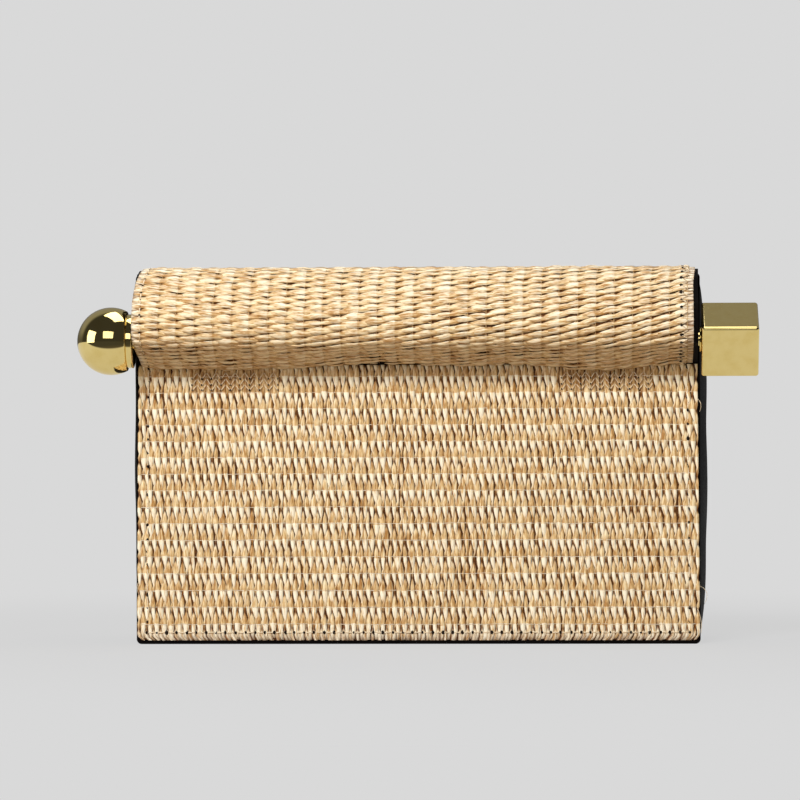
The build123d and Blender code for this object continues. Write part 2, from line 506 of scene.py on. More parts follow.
def dress(
    piece: Piece, material: bpy.types.Material, body: Optional[Body]
) -> None:
    """Give a piece its material, and let it ride on a body.

    Args:
        piece: The piece.
        material: Its finish.
        body: The body, or None, which leaves the piece on no body.
    """
    piece.data.materials.clear()
    piece.data.materials.append(material)
    if body is not None:
        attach(piece, body.value)
    log.info("%s: %d faces", piece.name, len(piece.data.polygons))


@dataclass(frozen=True)
class Tube:
    """A unit tube to copy: ring directions, the share of the length at each corner, and faces."""

    ring: Array
    share: Array
    faces: List[Tuple[int, ...]]


def unit_tube(sides: int, segments: int) -> Tube:
    """Model a closed tube of radius 1 whose rings can be moved one by one.

    Args:
        sides: Corners in each ring.
        segments: Stretches between rings.

    Returns:
        The tube, ready to copy.
    """
    piece = make(
        "tube_pattern",
        bpy.ops.mesh.primitive_cylinder_add,
        vertices=sides,
        radius=1.0,
        depth=1.0,
        end_fill_type="NOTHING",
        location=(0, 0, 0.5),
    )
    apply_all(piece)
    repeat = piece.modifiers.new("lengthen", "ARRAY")
    repeat.count = segments
    repeat.use_relative_offset = False
    repeat.use_constant_offset = True
    repeat.constant_offset_displace = (0.0, 0.0, 1.0)
    repeat.use_merge_vertices = True
    repeat.merge_threshold = 0.01
    apply_all(piece)
    bpy.ops.object.mode_set(mode="EDIT")
    bpy.ops.mesh.select_all(action="SELECT")
    bpy.ops.mesh.fill_holes(sides=0)
    bpy.ops.mesh.normals_make_consistent(inside=False)
    bpy.ops.object.mode_set(mode="OBJECT")
    places = corners_of(piece)
    faces = [tuple(face.vertices) for face in piece.data.polygons]
    bpy.data.objects.remove(piece)
    return Tube(places[:, :2].copy(), np.rint(places[:, 2]) / segments, faces)


def bundle(
    name: str, tube: Tube, places: Array, marks: Optional[Dict[str, Array]] = None
) -> Piece:
    """Join copies of a tube into one piece.

    Args:
        name: The piece's name.
        tube: The tube that is copied.
        places: The corners of each copy, in millimetres.
        marks: Vector attributes, with a row for each corner of each copy.

    Returns:
        The piece.
    """
    copies, per_copy = places.shape[:2]
    faces = [
        tuple(corner + copy * per_copy for corner in face)
        for copy in range(copies)
        for face in tube.faces
    ]
    mesh = bpy.data.meshes.new(name)
    mesh.from_pydata((places.reshape(-1, 3) * MM).tolist(), [], faces)
    for key, values in (marks or {}).items():
        attribute = mesh.attributes.new(key, "FLOAT_VECTOR", "POINT")
        attribute.data.foreach_set("vector", values.astype(np.float32).ravel())
    mesh.shade_smooth()
    return put_in_scene(name, mesh)


def lay_sheet(
    name: str,
    place: Place,
    across: Pair,
    along: Pair,
    height: float,
    thickness: float,
    cuts: Tuple[int, int],
) -> Piece:
    """Model a flat grid and lay it where a sheet goes.

    Args:
        name: The piece's name.
        place: Where a point of the flat sheet goes.
        across: Both ends across, in millimetres.
        along: Both ends along, in millimetres.
        height: Height of the sheet's middle, in millimetres.
        thickness: Its thickness, in millimetres.
        cuts: Grid stretches across and along.

    Returns:
        The piece, with its thickness applied.
    """
    add = bpy.ops.mesh.primitive_grid_add
    piece = make(name, add, x_subdivisions=cuts[0], y_subdivisions=cuts[1], size=1.0)
    flat = corners_of(piece) + 0.5
    s = across[0] + (across[1] - across[0]) * flat[:, 0]
    t = along[0] + (along[1] - along[0]) * flat[:, 1]
    set_corners(piece, place(s, t, np.full(s.shape, height)))
    solid = piece.modifiers.new("thickness", "SOLIDIFY")
    solid.thickness = thickness * MM
    solid.offset = 0.0
    apply_all(piece)
    piece.data.shade_smooth()
    bpy.ops.object.shade_smooth_by_angle(angle=math.radians(40))
    return piece


def drift(rng: np.random.Generator, copies: int, at: Array, spread: float) -> Array:
    """Random values that change slowly along each copy.

    Args:
        rng: The source of random numbers.
        copies: How many copies there are.
        at: Place of each corner along its copy. One unit takes one new value.
        spread: The values' standard deviation.

    Returns:
        One row of values for each copy.
    """
    knots = np.arange(math.floor(at.min()) - 1, math.ceil(at.max()) + 2)
    table = rng.normal(0.0, spread, (copies, knots.size))
    return np.stack([np.interp(at, knots, row) for row in table])


def points(x: Array, y: Array, z: Array) -> Array:
    """Stack coordinates into points, spread to one shape."""
    return np.stack(np.broadcast_arrays(x, y, z), -1)


def ease(value: Array, low: float, high: float) -> Array:
    """Rise smoothly from 0 at low to 1 at high."""
    share = np.clip((value - low) / (high - low), 0.0, 1.0)
    return share * share * (3.0 - 2.0 * share)


# Weaving


@dataclass(frozen=True)
class Float:
    """One float of a strand, from its dive under one cross thread to its dive under the next.

    "step" counts rows from the float's middle, where a cross thread pinches it. Rise is in
    millimetres, width and lean are shares of the strands' pitch, and glow is the painted highlight:
    1 on the half of the float that is painted bright and 0 on its dull half.
    """

    step: Tuple[float, ...] = (-0.95, -0.68, -0.45, -0.2, -0.03, 0.03, 0.3, 0.52, 0.76)
    rise: Tuple[float, ...] = (-0.16, 0.22, 0.5, 0.26, 0.04, 0.04, 0.24, 0.14, -0.42)
    width: Tuple[float, ...] = (1.05, 0.6, 1.1, 1.42, 1.56, 1.56, 1.42, 1.0, 0.3)
    lean: Tuple[float, ...] = (0.05, 0.25, 0.14, 0.04, 0.0, 0.0, 0.0, 0.0, 0.0)
    # Painted highlight along an upright float: bright below the pinch, dull above it.
    glow: Tuple[float, ...] = (0.05, 0.45, 0.8, 0.95, 0.95, 0.08, 0.14, 0.3, 0.3)

    def at(self, values: Tuple[float, ...], step: Array) -> Array:
        """One of the curves above, at each step."""
        return np.interp(step, self.step, values, period=2.0)


UPRIGHT = Float()
LENGTHWISE = Float(
    step=(-0.96, -0.78, -0.5, -0.2, -0.05, 0.03, 0.28, 0.5, 0.74),
    rise=(-0.42, 0.02, 0.42, 0.42, 0.24, 0.08, 0.2, 0.12, -0.2),
    width=(0.5, 1.0, 1.6, 1.88, 1.88, 1.55, 1.62, 1.4, 0.75),
    lean=(0.6, 0.62, 0.42, 0.15, 0.03, -0.03, -0.25, -0.42, -0.55),
    # Painted highlight along a lengthwise float: its head is painted brighter than its tail.
    glow=(0.1, 0.3, 0.42, 0.52, 0.55, 0.25, 0.25, 0.2, 0.1),
)


@dataclass(frozen=True)
class Stray:
    """How unevenly strands lie: standard deviations of drifts that change slowly along a strand.

    Those across are shares of the pitch, those in height and along are millimetres, and the others
    are shares of the strand's own size or tone.
    """

    along: float = 0.32
    across: float = 0.11
    girth: float = 0.16
    twist: float = 0.14
    lift: float = 0.05
    tone: float = 0.28
    strand_tone: float = 0.16
    thread_along: float = 0.10
    thread_lift: float = 0.09


@dataclass
class Weave:
    """A plain weave: each raffia strand floats over one cross thread and dives under the next."""

    strands: int
    across: Pair
    rows: Array
    along: Pair
    seed: int
    shape: Float = UPRIGHT
    lean: Pair = (1.0, 1.0)
    sway: float = 0.0
    bow: Pair = (0.0, 0.0)
    lift: float = 0.55
    thick: float = 0.6
    hem: Pair = (0.0, 0.0)
    pressed: Tuple[Tuple[float, float, float, float], ...] = ()
    sides: int = 6
    hem_width: float = 1.25
    hem_drop: float = 0.22
    stray: Stray = Stray()
    pitch: float = field(init=False)

    def __post_init__(self) -> None:
        """Work out the strands' pitch, and count rows on past both end rows."""
        self.pitch = (self.across[1] - self.across[0]) / self.strands
        more = np.arange(1, 9)
        start = self.rows[0] - (self.rows[1] - self.rows[0]) * more[::-1]
        end = self.rows[-1] + (self.rows[-1] - self.rows[-2]) * more
        self.lines = np.concatenate([start, self.rows, end])
        self.counts = np.arange(self.lines.size) - more.size

    def strands_piece(self, name: str, place: Place) -> Piece:
        """Weave all the strands into one piece.

        Args:
            name: The piece's name.
            place: Where a point of the flat sheet goes.

        Returns:
            The piece, with the attributes that the raffia finish reads.
        """
        rng = np.random.default_rng(self.seed)
        ends = np.array(self.along)
        bowed = np.concatenate([self.bow[0] * ends + self.bow[1] * ends**2, [0.0]])
        spare = (math.ceil(-bowed.min() / self.pitch), math.ceil(bowed.max() / self.pitch))
        strand = np.arange(-spare[1], self.strands + spare[0])[:, None]
        start, end = np.interp(self.along, self.lines, self.counts)
        first = math.floor(start)
        steps = np.array(self.shape.step)
        crests = first + 2 * np.arange(math.ceil((end - first - steps[-1]) / 2) + 1)
        stations = np.concatenate([crest + steps for crest in crests])
        tube = unit_tube(self.sides, stations.size - 1)
        index = np.rint(tube.share * (stations.size - 1)).astype(int)
        knots = stations[index]
        step = knots - first
        count = knots + strand % 2
        along = np.interp(count, self.counts, self.lines)
        along = along + drift(rng, strand.size, knots / 2, self.stray.along)
        along = np.clip(along, *self.along)
        reach = (along - self.along[0]) / (self.along[1] - self.along[0])
        flat = np.maximum(
            1 - ease(along, self.along[0], self.along[0] + self.hem[0] + 0.01),
            ease(along, self.along[1] - self.hem[1] - 0.01, self.along[1]),
        )
        # Raffia pressed under the magnets' patches is flattened and loses its painted highlight.
        dull = np.zeros_like(flat)
        column = self.across[0] + self.pitch * (strand + 0.5)
        for left, right, low, high in self.pressed:
            inside = ease(column, left - 1, left + 1) * (1 - ease(column, right - 1, right + 1))
            inside = inside * ease(along, low - 1, low + 1) * (1 - ease(along, high - 1, high + 1))
            flat, dull = np.maximum(flat, 0.75 * inside), np.maximum(dull, inside)
        lean = self.lean[0] + (self.lean[1] - self.lean[0]) * reach
        shift = self.pitch * lean * self.shape.at(self.shape.lean, step)
        middle = column + shift * (1 - flat)
        middle = middle + drift(rng, strand.size, knots, self.stray.across * self.pitch)
        middle = middle + self.sway * np.sin(along / 17.0 + strand * self.pitch / 30.0) * (1 - flat)
        middle = middle + self.bow[0] * along + self.bow[1] * along**2
        body = 1 + drift(rng, strand.size, knots, self.stray.girth)
        width = self.shape.at(self.shape.width, step)
        half = self.pitch / 2 * (width + (self.hem_width - width) * flat) * body
        ring_across, ring_up = tube.ring.T
        twist = drift(rng, strand.size, knots / 2, self.stray.twist)
        ring_across = np.sign(ring_across) * np.abs(ring_across) ** 0.6
        up = np.where(ring_up < 0, 0.6, 1.0) * ring_up * self.thick / 2
        rise = self.shape.at(self.shape.rise, step)
        lift = self.lift + rise * (1 - flat) + drift(rng, strand.size, knots, self.stray.lift)
        beyond = np.maximum(self.across[0] - middle, middle - self.across[1])
        lift = lift - 0.9 * ease(beyond, 0.0, 0.8)
        across = np.clip(middle + half * ring_across, *self.across)
        height = lift - self.hem_drop * flat + up + twist * half * ring_across
        low = self.lift + min(self.shape.rise)
        # depth lets the raffia finish paint deep places brown, as painted shade.
        depth = (height - low) / (max(self.shape.rise) - min(self.shape.rise) + self.thick / 2)
        tone = 0.5 + drift(rng, strand.size, knots / 2, self.stray.tone)
        tone = tone + rng.normal(0, self.stray.strand_tone, (strand.size, 1))
        offset = rng.uniform(0, 400, (strand.size, 1))
        # Painted highlight: glow paints one half of each float bright, hems are painted evenly bright,
        # and pressed raffia is painted dull.
        glow = self.shape.at(self.shape.glow, step) * (1 - 0.8 * flat) + 0.75 * flat - 0.8 * dull
        marks = {
            "fibre": np.stack([half * ring_across, along + offset, strand * 1.7 + 0 * along], -1),
            "lie": np.stack([depth, tone, glow], -1),
        }
        return bundle(name, tube, place(across, along, height), marks)

    def threads_piece(
        self, name: str, place: Place, radius: float, height: Pair
    ) -> Piece:
        """Lay the cross threads, one for each row.

        Args:
            name: The piece's name.
            place: Where a point of the flat sheet goes.
            radius: The threads' radius, in millimetres.
            height: Height of the first and of the last thread off the leather, in millimetres.

        Returns:
            The piece.
        """
        rng = np.random.default_rng(self.seed + 1)
        ends = (self.across[0] + self.pitch, self.across[1] - self.pitch)
        tube = unit_tube(5, round(self.strands * 0.75))
        across = ends[0] + tube.share * (ends[1] - ends[0])
        knots = tube.share * self.strands / 4
        along = self.rows[:, None] + drift(rng, self.rows.size, knots, self.stray.thread_along)
        along = along + radius * tube.ring[:, 0]
        share = np.arange(self.rows.size)[:, None] / self.rows.size
        level = height[0] + (height[1] - height[0]) * ease(share, 0.25, 0.65)
        rise = level + drift(rng, self.rows.size, knots * 2, self.stray.thread_lift)
        return bundle(name, tube, place(across, along, rise + radius * tube.ring[:, 1]))


@dataclass
class Seam:
    """A row of stitches along a line of the flat sheet, with a needle hole between stitches."""

    start: Pair
    end: Pair
    stitch: float
    height: float
    seed: int
    thread: float = 0.26
    zig: float = 0.0
    hole: float = 0.52
    sink: float = 0.45

    def count(self) -> int:
        """How many stitches the seam has."""
        return round(math.dist(self.start, self.end) / self.stitch)

    def line(self, step: Array) -> Tuple[Array, Array]:
        """Across and along places of a point that is this many stitches from the start."""
        share = step / self.count()
        across = self.start[0] + (self.end[0] - self.start[0]) * share
        along = self.start[1] + (self.end[1] - self.start[1]) * share
        return across, along

    def side(self) -> Array:
        """Unit direction square to the seam, across and along."""
        run = np.array(self.end) - np.array(self.start)
        run = run / np.linalg.norm(run)
        return np.array([-run[1], run[0]])

    def pieces(self, name: str, place: Place) -> Tuple[Piece, Piece]:
        """Model the stitches, which dip into the sheet at both ends, and the needle holes between them,
        dark cups of painted shade.

        Args:
            name: The start of both names.
            place: Where a point of the flat sheet goes.

        Returns:
            The stitches and the needle holes.
        """
        rng = np.random.default_rng(self.seed)
        tube = unit_tube(6, 6)
        number = np.arange(self.count())[:, None]
        across, along = self.line(number + 0.08 + tube.share * 0.84)
        side = self.side()
        lean = rng.normal(0, 0.08, number.shape)
        off = lean * (tube.share - 0.5) * 2 + self.thread * tube.ring[:, 0]
        off = off + self.zig * np.where(number % 2 == 0, tube.share, 1 - tube.share)
        arch = np.sin(math.pi * tube.share)
        height = self.height - self.sink * (1 - arch) ** 2 + self.thread * 0.8 * tube.ring[:, 1]
        places = place(across + side[0] * off, along + side[1] * off, height)
        stitches = bundle(f"{name}_stitches", tube, places)

        # Each needle hole is a dark cup of painted shade at the sheet's surface.
        rng = np.random.default_rng(self.seed + 5)
        number = np.arange(0, self.count() + 1, 2 if self.zig else 1)[:, None]
        tube = unit_tube(8, 2)
        across, along = self.line(number + rng.normal(0, 0.05, number.shape))
        size = self.hole * (1 + rng.normal(0, 0.15, number.shape))
        width = np.where(tube.share > 0.9, 1.0, 0.55) * size
        height = self.height - 0.35 * (1 - tube.share)
        across = across + width * tube.ring[:, 0]
        along = along + width * 1.25 * tube.ring[:, 1]
        return stitches, bundle(f"{name}_holes", tube, place(across, along, height))


# The roll's end view


@dataclass
class Chain:
    """A line of straight runs and bends, sampled finely. Turns are in degrees and start at 0."""

    runs: Sequence[float]
    turns: Sequence[float]
    samples: int

    def __post_init__(self) -> None:
        """Sample the turn, and how far the line has come ahead and aside."""
        self.marks = np.concatenate([[0.0], np.cumsum(self.runs)])
        self.s = np.linspace(0.0, self.marks[-1], self.samples)
        turned = np.concatenate([[0.0], np.cumsum(np.radians(self.turns))])
        self.turn = np.interp(self.s, self.marks, turned)
        middle, step = (self.turn[1:] + self.turn[:-1]) / 2, np.diff(self.s)
        self.ahead = np.concatenate([[0.0], np.cumsum(np.cos(middle) * step)])
        self.aside = np.concatenate([[0.0], np.cumsum(np.sin(middle) * step)])


@dataclass
class RollSection:
    """End view of the sheet that goes up the back, over the top and round the roll.

    It is a chain of straight runs and bends. The turn is the direction that the outside faces: 0 is
    backwards, 90 up and 180 forwards.
    """

    tail: float = 4.6
    fold_r: float = 1.3
    shoulder_r: float = 14.0
    slope_deg: float = 39.0
    brow_r: float = 17.2
    nose_r: float = 7.6
    nose_drop: float = 24.9
    under_deg: float = 67.0
    foot_forward: float = 1.5
    board_y: float = -35.0
    sheet_t: float = 1.2
    magnet_x: float = 73.0
    magnet_spread: float = 24.0
    slack: float = 1.9
    skew: float = 0.9
    bulge: float = 0.5
    half: float = 108.0
    sample: float = 0.1
    length: float = field(init=False)

    def __post_init__(self) -> None:
        """Work out the chain and sample it."""
        low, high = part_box("flap_raffia")
        self.top, self.back, self.front = high.z / MM, high.y / MM, low.y / MM
        nose_forward = self.board_y - self.front
        slope, under = math.radians(self.slope_deg), math.radians(self.under_deg)
        nose_z = self.top - self.nose_drop
        rise = (nose_z - (self.top - self.shoulder_r)) * math.sin(slope)
        shoulder = nose_forward - self.brow_r + (rise + self.brow_r - self.shoulder_r) / math.cos(slope)
        slope_run = (nose_forward - self.brow_r - shoulder) * math.sin(slope)
        slope_run += (self.top - self.shoulder_r - nose_z) * math.cos(slope)
        under_forward = nose_forward - self.nose_r * (1 - math.cos(under))
        under_run = (under_forward - self.foot_forward) / math.sin(under)
        top_run = self.back - self.fold_r - self.board_y + shoulder
        chain = (
            (self.tail, 0.0),
            (self.fold_r * math.pi / 2, 90.0),
            (top_run, 0.0),
            (self.shoulder_r * math.radians(90 - self.slope_deg), 90 - self.slope_deg),
            (slope_run, 0.0),
            (self.brow_r * slope, self.slope_deg),
            (self.nose_r * under, self.under_deg),
            (under_run, 0.0),
        )
        runs, turns = zip(*chain)
        line = Chain(runs, turns, round(sum(runs) / self.sample) + 1)
        self.marks, self.s, self.turn = line.marks, line.s, line.turn
        self.length = float(self.marks[-1])
        self.y = self.back - line.aside
        self.z = self.top - self.fold_r - self.tail + line.ahead

    def place(self, across: Array, along: Array, height: Array) -> Array:
        """Wrap a point of the flat sheet round the section.

        Args:
            across: Distance from the tail, over the fold, to the foot.
            along: Place along the bag.
            height: Height off the leather.

        Returns:
            Points in the part's frame, in millimetres.
        """
        turn = np.interp(across, self.s, self.turn)
        off = height - self.sheet_t
        y = np.interp(across, self.s, self.y) + np.cos(turn) * off
        z = np.interp(across, self.s, self.z) + np.sin(turn) * off
        return points(along, y, z)

    def skewed(self, across: Array, along: Array, height: Array) -> Array:
        """Wrap as place does, with the sheet sewn on a little askew and slack over the magnets."""
        point = self.place(across, along, height)
        near = np.exp(-(((np.abs(along) - self.magnet_x) / self.magnet_spread) ** 2))
        sag = ease(across, self.marks[6], self.length) * (near - 0.3 + 0.22 * np.sin(along / 9.0))
        point[..., 0] += self.askew(across, along, self.skew, self.bulge)
        point[..., 2] -= self.slack * sag
        return point

    def askew(
        self, across: Array, along: Array, shift: float, bulge: float
    ) -> Array:
        """How far along the bag a point moves, because the sheet is askew and its left end bulges.

        Args:
            across: Distance from the tail to the foot.
            along: Place along the bag.
            shift: How far the whole front lies to the left, in millimetres.
            bulge: How much further the left end stands out at the nose, in millimetres.

        Returns:
            The moves, in millimetres.
        """
        front = ease(across, self.marks[3] + 3, self.marks[4] + 4)
        nose = ease(across, self.marks[3], self.marks[5]) * (1 - ease(across, self.marks[6], self.length))
        left = np.clip(-along / self.half, 0.0, 1.0) ** 6
        pulled = left * ease(across, self.marks[2], self.marks[3]) * 1.3 * (1 - nose)
        return pulled - shift * front - bulge * left * nose


# Sub-assemblies


def bend_over_fold(piece: Piece) -> None:
    """Bake a piece's transform into its mesh; it is given no body, though it lies across the fold."""
    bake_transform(piece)


def lengthwise(ends: Pair, across: Pair, strands: int, seed: int, **settings: object) -> Weave:
    """A weave whose strands run along the bag.

    Args:
        ends: The mat's left and right ends.
        across: The mat's extent square to the strands.
        strands: How many strands there are.
        seed: The seed of its random numbers.
        settings: Other fields of the weave.

    Returns:
        The weave.
    """
    rows = ends[0] + COLUMN_PITCH * (np.arange(round((ends[1] - ends[0]) / COLUMN_PITCH)) + 0.4)
    rows = rows[rows < ends[1] - 1]
    return Weave(strands, across, rows, ends, seed, shape=LENGTHWISE, sway=0.25, **settings)


@dataclass
class Mat:
    """A woven sheet with its cross threads, a sheet of painted shade under it, its seams and their needle
    holes.

    "thread" is the cross threads' radius and their height at both ends. The dark brown layer under
    the strands, painted shade for the gaps between them, is given by its extent across and along, and
    its grid. "fold" is set where the mat bends between case and flap.
    """

    name: str
    weave: Weave
    place: Place
    finish: bpy.types.Material
    gap_shade_sheet: Tuple[Pair, Pair, Tuple[int, int]]
    seams: Dict[str, Seam]
    flat: Pair
    rests_on: str
    thread: Tuple[float, Pair] = (0.18, (0.6, 0.6))
    fold: Optional[RollSection] = None

    def build(self, wardrobe: Wardrobe) -> None:
        across, along, cuts = self.gap_shade_sheet
        strands = self.weave.strands_piece(f"{self.name}_raffia_weave", self.place)
        threads = self.weave.threads_piece(f"{self.name}_cross_threads", self.place, *self.thread)
        # The dark brown sheet under the strands is painted shade for the gaps between them.
        gap_shade_sheet = lay_sheet(f"{self.name}_raffia_ground", self.place, across, along, 0.12, 0.16, cuts)
        made = [(strands, wardrobe.raffia), (threads, self.finish), (gap_shade_sheet, wardrobe.gap_shade_sheet)]
        for name, seam in self.seams.items():
            stitches, holes = seam.pieces(f"{self.name}_{name}", self.place)
            # Needle holes are dark cups of painted shade.
            made += [(stitches, wardrobe.seam), (holes, wardrobe.hole_shade)]
        for piece, finish in made:
            dress(piece, finish, None if self.fold else Body.CASE)
            if self.fold:
                bend_over_fold(piece)
        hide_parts(f"{self.name}_raffia")
        self.flat[0] * MM
        self.flat[1] * MM


@dataclass
class FrontPanel:
    """The front mat: upright strands, cross threads, a stitched hem and the magnets' patches."""

    rim_top: float = 1.3
    rim_foot: float = 0.2
    strands: int = 154
    row_first: float = 7.8
    row_pitch: float = 6.65
    row_closing: float = 0.012
    row_count: int = 22
    hem_z: float = 4.6
    hem_drop: float = 1.2
    corner_r: float = 2.6
    stitch: float = 3.85
    patch_rows: Tuple[Pair, ...] = ((99.6, 1.9), (101.6, 2.3), (104.0, 2.2))
    left_patch: Pair = (-89.0, -55.0)
    right_patch: Pair = (57.0, 93.0)

    def __post_init__(self) -> None:
        """Read the mat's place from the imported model."""
        low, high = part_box("front_raffia")
        board_low, board_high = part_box("front_board")
        self.face = board_low.y / MM
        self.half = board_high.x / MM
        self.foot, self.head = low.z / MM - self.hem_drop, high.z / MM

    def place(self, across: Array, along: Array, height: Array) -> Array:
        """Put a point of the flat mat on the front board, whose rim widens towards the top."""
        share = (along - self.foot) / (self.head - self.foot)
        half = self.half - self.rim_foot - (self.rim_top - self.rim_foot) * share
        round_off = np.clip(1 - (along - self.foot) / self.corner_r, 0.0, 1.0)
        half = half - self.corner_r * (1 - np.sqrt(1 - 0.9 * round_off**2))
        return points(across / self.half * half, self.face - height, along)

    def weave(self) -> Weave:
        """The mat's weave."""
        index = np.arange(self.row_count)
        rows = self.row_first + self.row_pitch * index - self.row_closing * index**2
        return Weave(
            strands=self.strands,
            across=(-self.half, self.half),
            rows=rows[rows < self.head - 1],
            along=(self.foot, self.head),
            seed=21,
            hem=(6.5, 0.0),
            pressed=tuple((*ends, 98.6, 107.0) for ends in (self.left_patch, self.right_patch)),
        )

    def build(self, wardrobe: Wardrobe) -> None:
        """Weave the mat and sew it on."""
        side = self.half - 4.0
        seams = {
            "foot": Seam((-side, self.hem_z), (side, self.hem_z), self.stitch, 1.0, 31),
            "left": Seam((-side, self.hem_z + 4), (-side, self.head - 3), 5.6, 0.95, 32),
            "right": Seam((side, self.hem_z + 4), (side, self.head - 3), 5.6, 0.95, 33),
        }
        for index, (level, zig) in enumerate(self.patch_rows):
            for name, (start, end) in (("left", self.left_patch), ("right", self.right_patch)):
                seams[f"{name}_patch_{index}"] = Seam(
                    (start, level), (end, level), 1.86, 1.36, 34 + index, thread=0.34, zig=zig, hole=0.3
                )
        Mat(
            name="front",
            weave=self.weave(),
            place=self.place,
            finish=wardrobe.warp,
            thread=(0.13, (0.84, 0.5)),
            gap_shade_sheet=((-self.half + 0.3, self.half - 0.3), (self.foot + 0.2, self.head - 0.2), (24, 16)),
            seams=seams,
            flat=(2 * self.half, self.head - self.foot),
            rests_on="front_board",
        ).build(wardrobe)


@dataclass
class LooseFibres:
    """Fine fibres that have worked loose. Each one runs from a start, past a bend, to its end."""

    runs: Tuple[Tuple[Rgb, Rgb, Rgb], ...] = (
        ((-60.4, -38.3, 108.2), (-57.6, -39.2, 106.0), (-54.6, -38.0, 105.6)),
        ((109.6, -36.3, 95.6), (111.6, -37.6, 93.5), (110.2, -36.4, 90.6)),
        ((110.4, -36.0, 22.6), (114.6, -36.6, 20.5), (112.0, -34.6, 15.6)),
        ((109.2, -36.2, 13.6), (111.4, -37.2, 9.0), (110.6, -36.0, 4.2)),
        ((-109.4, -36.3, 24.6), (-110.9, -37.0, 21.8), (-109.2, -36.2, 19.4)),
    )
    radius: float = 0.13

    def build(self, wardrobe: Wardrobe) -> None:
        """Model the fibres as one piece."""
        tube = unit_tube(5, 10)
        start, bend, end = (np.array([run[i] for run in self.runs])[:, None, :] for i in range(3))
        share = tube.share[None, :, None]
        line = start * (1 - share) ** 2 + bend * 2 * share * (1 - share) + end * share**2
        girth = self.radius * (1 - 0.5 * tube.share)
        line[..., 0] += girth * tube.ring[:, 0]
        line[..., 1] += girth * tube.ring[:, 1]
        piece = bundle("loose_fibres", tube, line)
        dress(piece, wardrobe.seam, Body.CASE)


@dataclass
class FlapCover:
    """The raffia over the fold, the top and the roll, with strands along the bag."""

    section: RollSection
    strands: int = 90

    def __post_init__(self) -> None:
        """Read the sheet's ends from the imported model."""
        low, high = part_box("flap_raffia")
        self.ends = (low.x / MM, high.x / MM)

    def build(self, wardrobe: Wardrobe) -> None:
        """Weave the cover over the fold; its pieces ride on no body."""
        settings = {"lean": (0.2, 0.75), "bow": (0.03, -0.0005), "hem": (3.1, 5.6)}
        across = (0.0, self.section.length - 0.2)
        fold, tip = self.section.marks[1] + 2, self.section.length - 2
        left, right = self.ends[0] + 3.1, self.ends[1] - 4.6
        Mat(
            name="flap",
            weave=lengthwise(self.ends, across, self.strands, 41, **settings),
            place=self.section.skewed,
            finish=wardrobe.tan,
            gap_shade_sheet=((0.3, across[1] - 0.2), (self.ends[0] + 0.3, self.ends[1] - 0.3), (140, 40)),
            seams={
                "left": Seam((fold, left), (tip, left), 3.6, 1.0, 51, hole=0.3),
                "right": Seam((fold, right), (tip, right), 1.83, 1.3, 52, 0.26, 2.3, hole=0.66),
            },
            flat=(self.ends[1] - self.ends[0], self.section.length),
            rests_on="flap_leather_wrap",
            fold=self.section,
        ).build(wardrobe)


@dataclass
class BackPanel:
    """The back mat, with strands along the bag."""

    section: RollSection
    strands: int = 89
    stitch: float = 3.85

    def __post_init__(self) -> None:
        """Read the mat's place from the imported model."""
        low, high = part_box("back_raffia")
        self.ends = (low.x / MM, high.x / MM)
        self.foot = low.z / MM
        self.head = self.section.top - self.section.fold_r - self.section.tail
        self.face = high.y / MM - self.section.sheet_t

    def place(self, across: Array, along: Array, height: Array) -> Array:
        """Put a point of the flat mat on the back board."""
        return points(along, self.face + height, across)

    def build(self, wardrobe: Wardrobe) -> None:
        """Weave the mat and sew it on."""
        settings = {"lean": (0.3, 0.9), "hem": (3.0, 3.0)}
        side, foot, head = self.ends[1] - 3, self.foot + 6, self.head - 1
        Mat(
            name="back",
            weave=lengthwise(self.ends, (self.foot, self.head), self.strands, 61, **settings),
            place=self.place,
            finish=wardrobe.warp,
            gap_shade_sheet=((self.foot + 0.2, self.head), (self.ends[0] + 0.3, self.ends[1] - 0.3), (16, 24)),
            seams={
                "foot": Seam((self.foot + 3, -side), (self.foot + 3, side), self.stitch, 1.0, 71),
                "left": Seam((foot, -side), (head, -side), self.stitch, 1.0, 72),
                "right": Seam((foot, side), (head, side), self.stitch, 1.0, 73),
            },
            flat=(self.ends[1] - self.ends[0], self.head - self.foot),
            rests_on="back_board",
        ).build(wardrobe)


